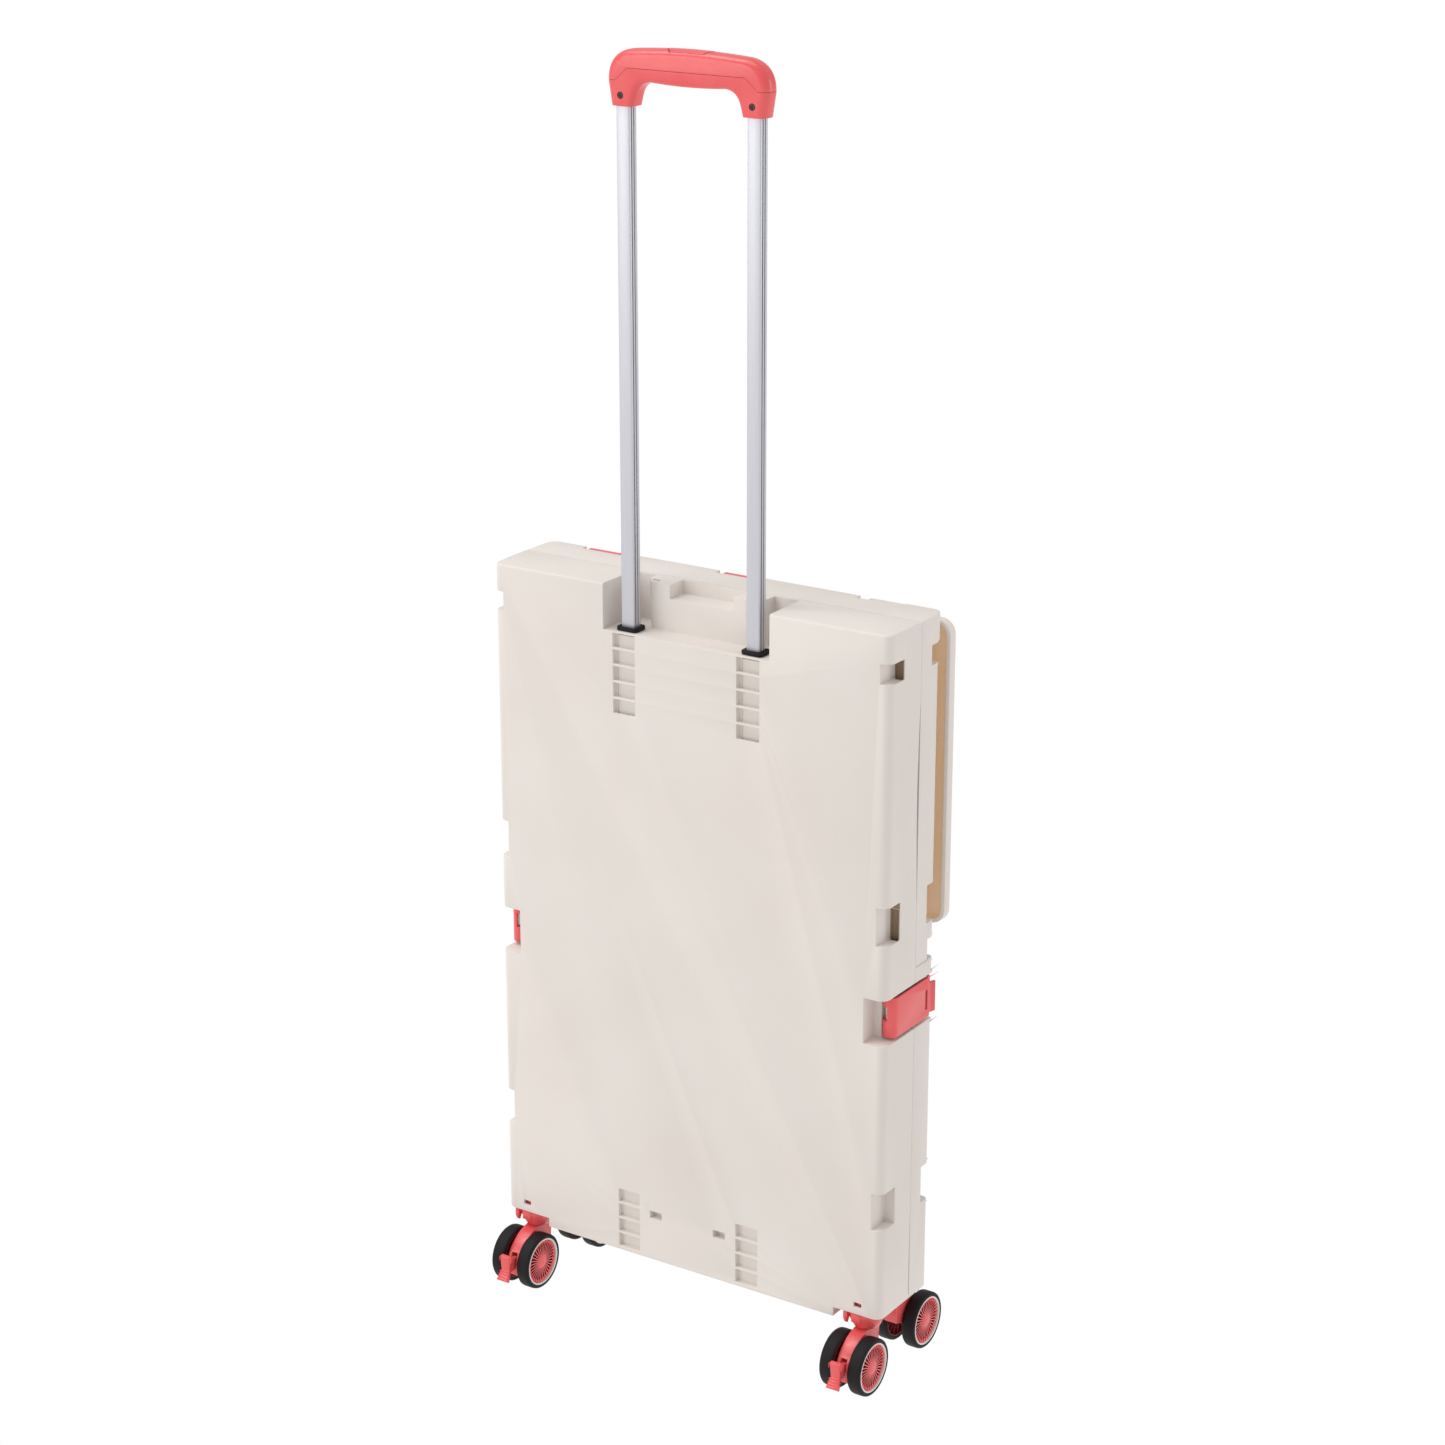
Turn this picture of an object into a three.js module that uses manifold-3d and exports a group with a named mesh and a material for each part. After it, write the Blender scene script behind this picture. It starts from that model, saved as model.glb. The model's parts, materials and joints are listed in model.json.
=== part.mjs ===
// Folding box cart on four twin-wheel casters, folded flat with its pull handle drawn out.
//
// Lengths are millimetres. The pieces are laid out in the shell's own axes: x to the right,
// y from the handle-side face towards the back, z up from the bottom edge of the shell.
// The exported group then moves that layout so that its origin lies on the floor below the
// middle of the whole cart.
import * as THREE from "three";
import { mergeVertices } from "three/addons/utils/BufferGeometryUtils.js";
import Module from "manifold-3d";

const wasm = await Module();
wasm.setup();

// Shells
const HALF_WIDTH = 185;
const SHELL_TOP = 573.5;
const SEAM = 46;
const REAR_FACE = 75;
const PAD_FACE = 81.5;
const CAP_BOTTOM = 551;
const CAP_RADIUS = 9.5;
const WALL = 3;
const FIT = 0.4;
const CORNER_RADIUS = 8;
const SKIRT_HALF = 141.5;
const SKIRT_DROP = 8;

// Handle recess in the top of the front shell
const RECESS_HALF = 77.4;
const SHELF = 535.6;
const BOSS_FRONT = 24;
const BOSS_HALF_FRONT = 47;
const BOSS_HALF_BACK = 55;
const NOTCH_HALF = 30;
const NOTCH_FLOOR = 562;

// Pull handle
const TUBE_X = 58.3;
const TUBE_Y = 11.5;
const TUBE_WIDTH = 12.2;
const TUBE_DEPTH = 10;
const TUBE_WALL = 1.2;
const TUBE_BOTTOM = 476;
const SLEEVE_WALL = 1.5;
const SLEEVE_BOTTOM = 62;
const GRIP_FRONT = 3.5;
const GRIP_BACK = 20.5;
const GRIP_BOTTOM = 946;
const GRIP_TOP = 990.5;

// Ladder pockets moulded in front of the tube channels
const LADDER_INNER = 47.6;
const LADDER_OUTER = 68.5;
const LADDER_PITCH = 13.7;
const LADDER_RIB = 1.9;
const LADDER_DEPTH = 4.4;

// Corner notches: bottom and top of each, on both edges of both shells
const NOTCHES = [
  [79, 110.7],
  [322.5, 354],
  [534.5, 550.5],
];
const REAR_NOTCH = [291, 308];
const NOTCH_WIDTH = 9.5;
const NOTCH_DEPTH = 21;

// Side latches
const LATCH_BOTTOM = 241.5;
const LATCH_TOP = 275;
const LATCH_PIVOT_X = 179;
const LATCH_PIVOT_Y = 20;
const LATCH_EAR = 6.5;
const LATCH_THICK = 2;
const LATCH_EYE = [255.5, 266.5];
const LATCH_POCKET = 19.5;
const LATCH_POCKET_BOTTOM = 238.5;
const LATCH_POCKET_TOP = 277;
const LATCH_POCKET_BACK = 17.5;

// Folding side panels: two leaves a side, hinged to the shells and to each other
const PANEL_HINGE_X = 170;
const PANEL_PIN_X = 66;
const PANEL_OFFSET = 6;
const PANEL_HALF_THICK = 5.4;
const PANEL_BOTTOM = 12;
const PANEL_TOP = 561.5;
const PANEL_KNUCKLES = [40, 265, 480];
const KNUCKLE_HEIGHT = 20;
const PIN_TOP = 526;

// Lid, hanging behind the rear shell
const LID_HALF = 187.5;
const LID_BOTTOM = 313;
const LID_TOP = 563.5;
const LID_FRONT = 86.5;
const LID_BACK = 95;
const LID_AXIS_Y = 86;
const LID_AXIS_Z = 567.9;

// Casters
const TYRE_RADIUS = 24;
const RIM_RADIUS = 21;
const WHEEL_WIDTH = 12;
const WHEEL_OFFSET = 13;
const AXLE_DROP = 40.6;
const TRAIL = 20;
const CASTERS = [
  { name: "front_left", x: -164, y: 16, turn: 0, brake: true },
  { name: "front_right", x: 164, y: 16, turn: 0, brake: true },
  { name: "rear_left", x: -162, y: 66.6, turn: Math.PI, brake: false },
  { name: "rear_right", x: 162, y: 66.6, turn: Math.PI, brake: false },
];

// Floor below the shell's bottom edge, and the middle of the whole cart in depth
const FLOOR_DROP = AXLE_DROP + TYRE_RADIUS;
const DEPTH_MIDDLE = 36;

const cream = { color: 0xded5cb, roughness: 0.5, metalness: 0 };
const coral = { color: 0xe65d5f, roughness: 0.42, metalness: 0 };
const silver = { color: 0xc3c4ca, roughness: 0.3, metalness: 0.9 };
const steel = { color: 0x8a8c90, roughness: 0.35, metalness: 1 };
const black = { color: 0x232224, roughness: 0.75, metalness: 0 };
const darkScrew = { color: 0x2e2b2c, roughness: 0.4, metalness: 0.8 };

// ---- Solids ----

function solidOf(geometry) {
  const bare = geometry.index ? geometry.toNonIndexed() : geometry.clone();
  bare.deleteAttribute("normal");
  bare.deleteAttribute("uv");
  const merged = mergeVertices(bare, 1e-4);
  return new wasm.Manifold(
    new wasm.Mesh({
      numProp: 3,
      vertProperties: merged.attributes.position.array,
      triVerts: new Uint32Array(merged.index.array),
    }),
  );
}

function geometryOf(solid) {
  const mesh = solid.getMesh();
  const geometry = new THREE.BufferGeometry();
  geometry.setAttribute("position", new THREE.BufferAttribute(mesh.vertProperties, 3));
  geometry.setIndex(new THREE.BufferAttribute(mesh.triVerts, 1));
  geometry.computeVertexNormals();
  return geometry;
}

function box(x0, x1, y0, y1, z0, z1) {
  const geometry = new THREE.BoxGeometry(x1 - x0, y1 - y0, z1 - z0);
  geometry.translate((x0 + x1) / 2, (y0 + y1) / 2, (z0 + z1) / 2);
  return solidOf(geometry);
}

// A closed outline pushed along an axis. The outline lies in (y, z) for "x", in (x, z)
// for "y" and in (x, y) for "z".
function prism(shape, axis, low, high, curveSegments = 6) {
  const options = { depth: high - low, bevelEnabled: false, curveSegments };
  const geometry = new THREE.ExtrudeGeometry(shape, options);
  if (axis === "x") {
    geometry.rotateX(Math.PI / 2);
    geometry.rotateZ(Math.PI / 2);
    geometry.translate(low, 0, 0);
  } else if (axis === "y") {
    geometry.rotateX(Math.PI / 2);
    geometry.translate(0, high, 0);
  } else {
    geometry.translate(0, 0, low);
  }
  return solidOf(geometry);
}

function outline(points) {
  return new THREE.Shape(points.map(([a, b]) => new THREE.Vector2(a, b)));
}

function rod(axis, a, b, radius, low, high, sides = 12) {
  const length = high - low;
  const geometry = new THREE.CylinderGeometry(radius, radius, length, sides);
  if (axis === "x") {
    geometry.rotateZ(Math.PI / 2);
    geometry.translate((low + high) / 2, a, b);
  } else if (axis === "y") {
    geometry.translate(a, (low + high) / 2, b);
  } else {
    geometry.rotateX(Math.PI / 2);
    geometry.translate(a, b, (low + high) / 2);
  }
  return solidOf(geometry);
}

// A profile of [radius, height] points turned about the z axis. It runs upwards on the outside,
// and it starts and ends on the axis or closes on itself.
function turned(profile, segments) {
  const closed = profile[0][0] > 0 ? [...profile, profile[0]] : profile;
  const loop = closed.map(([r, h]) => new THREE.Vector2(r, h));
  const geometry = new THREE.LatheGeometry(loop, segments);
  geometry.rotateX(Math.PI / 2);
  return solidOf(geometry);
}

const join = (...solids) => solids.reduce((whole, solid) => whole.add(solid));
const cut = (solid, ...tools) => tools.reduce((rest, tool) => rest.subtract(tool), solid);
const bothSides = (make) => [make(1), make(-1)].reduce((a, b) => a.add(b));
const mirrored = (solid) => solid.mirror([1, 0, 0]);

// A box given by its distance from the middle plane, on the side that sign names.
function sideBox(sign, inner, outer, y0, y1, z0, z1) {
  return sign > 0 ? box(inner, outer, y0, y1, z0, z1) : box(-outer, -inner, y0, y1, z0, z1);
}

function roundedRect(x0, x1, y0, y1, radius) {
  const shape = new THREE.Shape();
  shape.moveTo(x0 + radius, y0);
  shape.lineTo(x1 - radius, y0);
  shape.absarc(x1 - radius, y0 + radius, radius, -Math.PI / 2, 0);
  shape.lineTo(x1, y1 - radius);
  shape.absarc(x1 - radius, y1 - radius, radius, 0, Math.PI / 2);
  shape.lineTo(x0 + radius, y1);
  shape.absarc(x0 + radius, y1 - radius, radius, Math.PI / 2, Math.PI);
  shape.lineTo(x0, y0 + radius);
  shape.absarc(x0 + radius, y0 + radius, radius, Math.PI, 1.5 * Math.PI);
  return shape;
}

// Plan of the front shell: square at the seam, rounded at the two front corners.
function frontPlan(half, front, radius) {
  const shape = new THREE.Shape();
  shape.moveTo(-half + radius, front);
  shape.lineTo(half - radius, front);
  shape.absarc(half - radius, front + radius, radius, -Math.PI / 2, 0);
  shape.lineTo(half, SEAM);
  shape.lineTo(-half, SEAM);
  shape.lineTo(-half, front + radius);
  shape.absarc(-half + radius, front + radius, radius, Math.PI, 1.5 * Math.PI);
  return shape;
}

// ---- Shells ----

function pegSockets(sign, y0, y1, axisY) {
  const blocks = [
    [WALL, PANEL_BOTTOM - 1],
    [PANEL_TOP + 1, SHELL_TOP - WALL],
  ].map(([z0, z1]) => sideBox(sign, PANEL_HINGE_X - 7, HALF_WIDTH - WALL / 2, y0, y1, z0, z1));
  const bores = [
    [PANEL_BOTTOM - 6.5, PANEL_BOTTOM],
    [PANEL_TOP, PANEL_TOP + 6.5],
  ].map(([z0, z1]) => rod("z", sign * PANEL_HINGE_X, axisY, 3.3, z0, z1));
  return { blocks: join(...blocks), bores: join(...bores) };
}

function ladderPockets(sign, bottom, cells) {
  const pockets = [];
  for (let i = 0; i < cells; i++) {
    const low = bottom + i * LADDER_PITCH;
    const high = low + LADDER_PITCH - LADDER_RIB;
    pockets.push(sideBox(sign, LADDER_INNER, LADDER_OUTER, -1, LADDER_DEPTH, low, high));
  }
  return join(...pockets);
}

function frontShell() {
  const full = join(
    prism(frontPlan(HALF_WIDTH, 0, CORNER_RADIUS), "z", 0, SHELL_TOP),
    box(-SKIRT_HALF, SKIRT_HALF, 0, SEAM, -SKIRT_DROP, 1),
  );
  const inner = HALF_WIDTH - WALL;
  const room = prism(frontPlan(inner, WALL, CORNER_RADIUS - WALL), "z", WALL, SHELL_TOP - WALL);
  const backOfRoom = box(-inner, inner, SEAM - 1, SEAM + 1, WALL, SHELL_TOP - WALL);
  const underSkirt = box(-SKIRT_HALF + WALL, SKIRT_HALF - WALL, WALL, SEAM + 1, -SKIRT_DROP - 1, 0);
  let shell = cut(full, room, backOfRoom, underSkirt);

  const recessWall = RECESS_HALF + WALL;
  const bossPlan = outline([
    [-BOSS_HALF_FRONT, BOSS_FRONT],
    [BOSS_HALF_FRONT, BOSS_FRONT],
    [BOSS_HALF_BACK, BOSS_FRONT + 10],
    [BOSS_HALF_BACK, SEAM],
    [-BOSS_HALF_BACK, SEAM],
    [-BOSS_HALF_BACK, BOSS_FRONT + 10],
  ]);
  const recessBlock = box(-recessWall, recessWall, 0, SEAM, SHELF - WALL, SHELL_TOP);
  const recess = box(-RECESS_HALF, RECESS_HALF, -1, SEAM - 2.5, SHELF, SHELL_TOP + 1);
  const boss = prism(bossPlan, "z", SHELF - 1, SHELL_TOP);
  const bossHollow = box(-44, 44, BOSS_FRONT + WALL, SEAM + 1, SHELF - 4, NOTCH_FLOOR - WALL);
  const fingerNotch = box(
    -NOTCH_HALF, NOTCH_HALF, BOSS_FRONT - 1, SEAM - 2.5, NOTCH_FLOOR, SHELL_TOP + 1,
  );
  const keySlot = box(-51, -43, 29, 32, SHELL_TOP - 8, SHELL_TOP + 1);
  shell = cut(join(shell, recessBlock), recess);
  shell = cut(join(shell, boss), bossHollow, fingerNotch, keySlot);

  const additions = bothSides((sign) =>
    join(
      sideBox(sign, LADDER_INNER - 2, LADDER_OUTER + 2, 2, LADDER_DEPTH + 1.5, -SKIRT_DROP, 52),
      sideBox(sign, 23.5, 39, 2, 8, 28, 38.5),
      sideBox(sign, LADDER_INNER - 2, 50.2, 2, LADDER_DEPTH + 1.5, SHELF - 71, SHELF - 1),
      sideBox(sign, 66.4, LADDER_OUTER + 2, 2, LADDER_DEPTH + 1.5, SHELF - 71, SHELF - 1),
      sideBox(sign, 160, 166, 21.6, 32, 2, 20),
      sideBox(
        sign, HALF_WIDTH - LATCH_POCKET - WALL, HALF_WIDTH, 0, SEAM,
        LATCH_POCKET_BOTTOM - WALL, LATCH_POCKET_TOP + WALL,
      ),
      pegSockets(sign, 33, SEAM - FIT, SEAM - PANEL_OFFSET).blocks,
      ...NOTCHES.map(([z0, z1]) =>
        sideBox(
          sign, HALF_WIDTH - NOTCH_WIDTH - WALL, HALF_WIDTH, 0, NOTCH_DEPTH + WALL,
          z0 - WALL, z1 + WALL,
        ),
      ),
    ),
  );
  const removals = bothSides((sign) =>
    join(
      ladderPockets(sign, SHELF - 67.9, 5),
      ladderPockets(sign, -SKIRT_DROP + 3.5, 4),
      ...NOTCHES.map(([z0, z1]) =>
        sideBox(sign, HALF_WIDTH - NOTCH_WIDTH, HALF_WIDTH + 1, -1, NOTCH_DEPTH, z0, z1),
      ),
      sideBox(
        sign, HALF_WIDTH - LATCH_POCKET, HALF_WIDTH + 1, -1, SEAM + 1,
        LATCH_POCKET_BOTTOM, LATCH_POCKET_TOP,
      ),
      pegSockets(sign, 33, SEAM - FIT, SEAM - PANEL_OFFSET).bores,
      sideBox(
        sign, TUBE_X - TUBE_WIDTH / 2 - FIT, TUBE_X + TUBE_WIDTH / 2 + FIT,
        TUBE_Y - TUBE_DEPTH / 2 - FIT, TUBE_Y + TUBE_DEPTH / 2 + FIT, SHELF - 10, SHELF + 1,
      ),
      sideBox(sign, 25.5, 37, -1, 6.5, 30, 36.5),
      sideBox(sign, 160.5, 167.5, -1, WALL + 1, 6.5, 10.5),
      rod("x", 26.6, 13, 3.3, sign * 163 - 4, sign * 163 + 4),
      rod("z", sign * CASTERS[1].x, CASTERS[1].y, 5.4, -1, WALL + 1),
    ),
  );
  const latchKnuckles = bothSides((sign) => {
    const [low, high] = LATCH_EYE;
    const pocketBack = sideBox(
      sign, HALF_WIDTH - LATCH_POCKET - 1, LATCH_PIVOT_X - LATCH_EAR - 0.5, LATCH_POCKET_BACK, SEAM,
      LATCH_POCKET_BOTTOM - 1, LATCH_POCKET_TOP + 1,
    );
    const web = sideBox(
      sign, LATCH_PIVOT_X - LATCH_EAR - 1, LATCH_PIVOT_X + 2.5, LATCH_PIVOT_Y + 3.2,
      LATCH_PIVOT_Y + 14, low, high,
    );
    const eye = rod("z", sign * LATCH_PIVOT_X, LATCH_PIVOT_Y, 4.1, low, high);
    const bore = rod("z", sign * LATCH_PIVOT_X, LATCH_PIVOT_Y, 1.8, low - 1, high + 1);
    return cut(join(pocketBack, web, eye), bore);
  });
  return join(cut(join(shell, additions.intersect(full)), removals), latchKnuckles);
}

// Raised pad at the top of a rear corner, with a generous round on its outer edge
function cornerCap(sign) {
  const shape = new THREE.Shape();
  shape.moveTo(150, REAR_FACE - 6);
  shape.lineTo(HALF_WIDTH - 0.5, REAR_FACE - 6);
  shape.lineTo(HALF_WIDTH - 0.5, PAD_FACE - CAP_RADIUS);
  shape.absarc(HALF_WIDTH - 0.5 - CAP_RADIUS, PAD_FACE - CAP_RADIUS, CAP_RADIUS, 0, Math.PI / 2);
  shape.lineTo(150, PAD_FACE);
  const cap = prism(shape, "z", CAP_BOTTOM, SHELL_TOP, 8);
  return sign > 0 ? cap : mirrored(cap);
}

function rearShell() {
  const front = SEAM + FIT;
  const inner = HALF_WIDTH - WALL;
  const corner = 5;
  const plan = new THREE.Shape();
  plan.moveTo(-HALF_WIDTH, front);
  plan.lineTo(HALF_WIDTH, front);
  plan.lineTo(HALF_WIDTH, REAR_FACE - corner);
  plan.absarc(HALF_WIDTH - corner, REAR_FACE - corner, corner, 0, Math.PI / 2);
  plan.lineTo(-HALF_WIDTH + corner, REAR_FACE);
  plan.absarc(-HALF_WIDTH + corner, REAR_FACE - corner, corner, Math.PI / 2, Math.PI);
  const full = prism(plan, "z", 0, SHELL_TOP);
  const room = box(-inner, inner, front - 1, REAR_FACE - WALL, WALL, SHELL_TOP - WALL);
  let shell = cut(full, room);

  const additions = bothSides((sign) =>
    join(
      cornerCap(sign),
      sideBox(sign, 20, 110, REAR_FACE - 2, PAD_FACE, 545, SHELL_TOP),
      sideBox(
        sign, HALF_WIDTH - 7, HALF_WIDTH, front, REAR_FACE - 1,
        LATCH_POCKET_BOTTOM - WALL, LATCH_POCKET_TOP + WALL,
      ),
      pegSockets(sign, SEAM + 2 * FIT, 59, SEAM + PANEL_OFFSET).blocks,
      ...NOTCHES.map(([z0, z1]) =>
        sideBox(
          sign, HALF_WIDTH - NOTCH_WIDTH - WALL, HALF_WIDTH - 1, 60, REAR_FACE - 1,
          z0 - WALL, z1 + WALL,
        ),
      ),
      sideBox(
        sign, HALF_WIDTH - NOTCH_WIDTH - WALL, HALF_WIDTH - 1, 62, REAR_FACE - 1,
        REAR_NOTCH[0] - WALL, REAR_NOTCH[1] + WALL,
      ),
    ),
  );
  shell = join(shell, additions);

  const removals = bothSides((sign) =>
    join(
      ...NOTCHES.map(([z0, z1]) =>
        sideBox(sign, HALF_WIDTH - NOTCH_WIDTH, HALF_WIDTH + 1, 62.7, PAD_FACE + 1, z0, z1),
      ),
      sideBox(sign, HALF_WIDTH - NOTCH_WIDTH, HALF_WIDTH + 1, 65, PAD_FACE + 1, ...REAR_NOTCH),
      sideBox(sign, HALF_WIDTH - 0.8, HALF_WIDTH + 1, SEAM + 2, 66, REAR_NOTCH[0] - 1, REAR_NOTCH[0]),
      sideBox(
        sign, HALF_WIDTH - 4.5, HALF_WIDTH + 1, front - 1, REAR_FACE + 1,
        LATCH_POCKET_BOTTOM, LATCH_POCKET_TOP,
      ),
      pegSockets(sign, SEAM + 2 * FIT, 59, SEAM + PANEL_OFFSET).bores,
      rod("z", sign * CASTERS[3].x, CASTERS[3].y, 5.4, -1, WALL + 1),
    ),
  );
  shell = cut(shell, removals);

  // Catch tooth under the slot of each latch, just short of the strap
  const toothTop = HALF_WIDTH + 0.5 - LATCH_THICK - FIT;
  const teeth = bothSides((sign) =>
    sideBox(sign, HALF_WIDTH - 6, toothTop, 63.9, 65.5, LATCH_BOTTOM + 10, LATCH_TOP - 12),
  );
  // Lug that carries the plain end of the lid rod
  const lug = join(
    box(116, 147, REAR_FACE - 1, LID_AXIS_Y, 561, LID_AXIS_Z + 3.2),
    rod("x", LID_AXIS_Y, LID_AXIS_Z, 3.2, 116, 147),
  );
  const lugBore = rod("x", LID_AXIS_Y, LID_AXIS_Z, 1.9, 115, 148);
  return join(shell, teeth, cut(lug, lugBore));
}

// ---- Folding panels ----

// Leaf of the left side. The first leaf lies on the front-shell side of the centre pin,
// the second on the rear-shell side.
function panelLeaf(second) {
  const side = second ? 1 : -1;
  const axisY = SEAM + side * PANEL_OFFSET;
  const y0 = axisY - PANEL_HALF_THICK;
  const y1 = axisY + PANEL_HALF_THICK;
  const x0 = -PANEL_HINGE_X - PANEL_HALF_THICK;
  const x1 = -PANEL_PIN_X - 4.5;
  const frame = 9;
  const plate = box(x0, x1, y0, y1, PANEL_BOTTOM, PANEL_TOP);
  const trayY = second ? [axisY - 2, y1 + 1] : [y0 - 1, axisY + 2];
  const rooms = [
    [PANEL_BOTTOM + frame, 225],
    [291, PIN_TOP - frame],
  ].map(([z0, z1]) => box(x0 + 12, x1 - frame, ...trayY, z0, z1));
  const latchRoom = box(x0 - 1, -HALF_WIDTH + LATCH_POCKET + 9, y0 - 1, y1 + 1, 231, 285);
  const recessRoom = box(-RECESS_HALF - WALL - 2, x1 + 1, y0 - 1, y1 + 1, PIN_TOP + 2, PANEL_TOP + 1);
  const pegs = [
    [PANEL_BOTTOM - 6, PANEL_BOTTOM + 2],
    [PANEL_TOP - 2, PANEL_TOP + 6],
  ].map(([z0, z1]) => rod("z", -PANEL_HINGE_X, axisY, 3, z0, z1));
  const knuckles = PANEL_KNUCKLES.map((base) => {
    const z0 = second ? base + KNUCKLE_HEIGHT + FIT : base;
    const z1 = z0 + KNUCKLE_HEIGHT;
    const web = second
      ? box(x1 - 2, -PANEL_PIN_X, SEAM + 0.6, y1 - 1, z0, z1)
      : box(x1 - 2, -PANEL_PIN_X, y0 + 1, SEAM - 0.6, z0, z1);
    return join(web, rod("z", -PANEL_PIN_X, SEAM, 4, z0, z1));
  });
  const pinBore = rod("z", -PANEL_PIN_X, SEAM, 1.8, PANEL_BOTTOM, PANEL_TOP, 12);
  const cuts = second ? [...rooms, recessRoom] : [...rooms, recessRoom, latchRoom];
  return cut(join(cut(plate, ...cuts), ...pegs, ...knuckles), pinBore);
}

function floorPanel() {
  const board = box(-158, 158, 21.6, 31.6, 8, 243);
  const tray = [-105, 0, 105].map((x) => box(x - 48, x + 48, 25, 32, 24, 234));
  const pegs = rod("x", 26.6, 13, 3, -164.5, 164.5);
  return join(cut(board, ...tray), pegs);
}

// ---- Pull handle ----

function tubeProfile() {
  const a = TUBE_WIDTH / 2;
  const b = TUBE_DEPTH / 2;
  const groove = 0.5;
  const shape = outline([
    [-a, -b], [a, -b],
    [a, -2], [a - groove, -1.5], [a, -1], [a, 1], [a - groove, 1.5], [a, 2],
    [a, b], [-a, b],
    [-a, 2], [-a + groove, 1.5], [-a, 1], [-a, -1], [-a + groove, -1.5], [-a, -2],
  ]);
  const c = a - TUBE_WALL;
  const d = b - TUBE_WALL;
  shape.holes.push(outline([[-c, -d], [-c, d], [c, d], [c, -d]]));
  return shape;
}

function handleTube(sign) {
  const tube = prism(tubeProfile(), "z", TUBE_BOTTOM, GRIP_BOTTOM + 15);
  return tube.translate([sign * TUBE_X, TUBE_Y, 0]);
}

function tubeSleeve(sign) {
  const a = TUBE_WIDTH / 2 + FIT;
  const b = TUBE_DEPTH / 2 + FIT;
  const top = SHELF - WALL - FIT;
  const outer = box(
    -a - SLEEVE_WALL, a + SLEEVE_WALL, -b - SLEEVE_WALL + 0.2, b + SLEEVE_WALL, SLEEVE_BOTTOM, top,
  );
  const bore = box(-a, a, -b, b, SLEEVE_BOTTOM - 1, top + 1);
  return cut(outer, bore).translate([sign * TUBE_X, TUBE_Y, 0]);
}

function tubeCollar(sign) {
  const ring = prism(roundedRect(-9.5, 9.5, -8, 7.5, 3), "z", SHELF + FIT, SHELF + 3.4, 3);
  const a = TUBE_WIDTH / 2 + FIT;
  const b = TUBE_DEPTH / 2 + FIT;
  const bore = box(-a, a, -b, b, SHELF - 1, SHELF + 5);
  return cut(ring, bore).translate([sign * TUBE_X, TUBE_Y, 0]);
}

// Arch of the grip in (x, z): sockets at the bottom, big round shoulders, slightly crowned top.
function gripArch() {
  const shape = new THREE.Shape();
  shape.moveTo(68.5, GRIP_BOTTOM);
  shape.lineTo(71.5, 964);
  shape.bezierCurveTo(72, 979, 63, 988, 48, 988.6);
  shape.quadraticCurveTo(0, 992.4, -48, 988.6);
  shape.bezierCurveTo(-63, 988, -72, 979, -71.5, 964);
  shape.lineTo(-68.5, GRIP_BOTTOM);
  shape.lineTo(-48.3, GRIP_BOTTOM);
  shape.lineTo(-46.5, 953);
  shape.quadraticCurveTo(-44, 963.8, -33, 964.6);
  shape.quadraticCurveTo(0, 962, 33, 964.6);
  shape.quadraticCurveTo(44, 963.8, 46.5, 953);
  shape.lineTo(48.3, GRIP_BOTTOM);
  return shape;
}

// Everything above the parting line between grip base and grip cover.
function aboveParting(lift) {
  const shape = outline([
    [-80, 965 + lift], [-63, 965 + lift], [-52, 974.5 + lift], [52, 974.5 + lift],
    [63, 965 + lift], [80, 965 + lift], [80, 1010], [-80, 1010],
  ]);
  return prism(shape, "y", 0, 30);
}

function gripBody() {
  const arch = prism(gripArch(), "y", GRIP_FRONT, GRIP_BACK, 8);
  const side = prism(roundedRect(GRIP_FRONT, GRIP_BACK, 900, GRIP_TOP + 2, 4), "x", -90, 90, 3);
  return arch.intersect(side);
}

function gripBase() {
  const sockets = bothSides((sign) =>
    join(
      box(
        sign * TUBE_X - TUBE_WIDTH / 2 - FIT, sign * TUBE_X + TUBE_WIDTH / 2 + FIT,
        TUBE_Y - TUBE_DEPTH / 2 - FIT, TUBE_Y + TUBE_DEPTH / 2 + FIT,
        GRIP_BOTTOM - 1, GRIP_BOTTOM + 15.5,
      ),
      rod("y", sign * TUBE_X, 954, 2.7, GRIP_FRONT - 1, 5),
      rod("y", sign * TUBE_X, 954, 1.6, GRIP_FRONT - 1, 7.5),
    ),
  );
  return cut(gripBody(), aboveParting(0), sockets);
}

function gripCover() {
  const slot = prism(buttonPlan(FIT), "z", 981, 1000);
  return cut(gripBody().intersect(aboveParting(FIT)), slot);
}

// Long six-sided button, crowned like the top of the grip. grow widens it for the slot it sits in.
function buttonPlan(grow) {
  return outline([
    [-15 - grow, 8 - grow], [15 + grow, 8 - grow], [20 + 1.6 * grow, 12],
    [15 + grow, 16 + grow], [-15 - grow, 16 + grow], [-20 - 1.6 * grow, 12],
  ]);
}

function handleButton() {
  const half = 21;
  const crown = new THREE.Shape();
  crown.moveTo(-half, 984.5);
  crown.lineTo(half, 984.5);
  crown.lineTo(half, 990.1);
  crown.quadraticCurveTo(0, 991.7, -half, 990.1);
  return prism(crown, "y", 5, 19, 5).intersect(prism(buttonPlan(0), "z", 980, 1000));
}

function handleScrew(sign) {
  return join(
    rod("y", sign * TUBE_X, 954, 2.3, GRIP_FRONT, 4.7, 10),
    rod("y", sign * TUBE_X, 954, 1.2, 4.2, TUBE_Y - TUBE_DEPTH / 2 - FIT, 8),
  );
}

// ---- Latches ----

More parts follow.
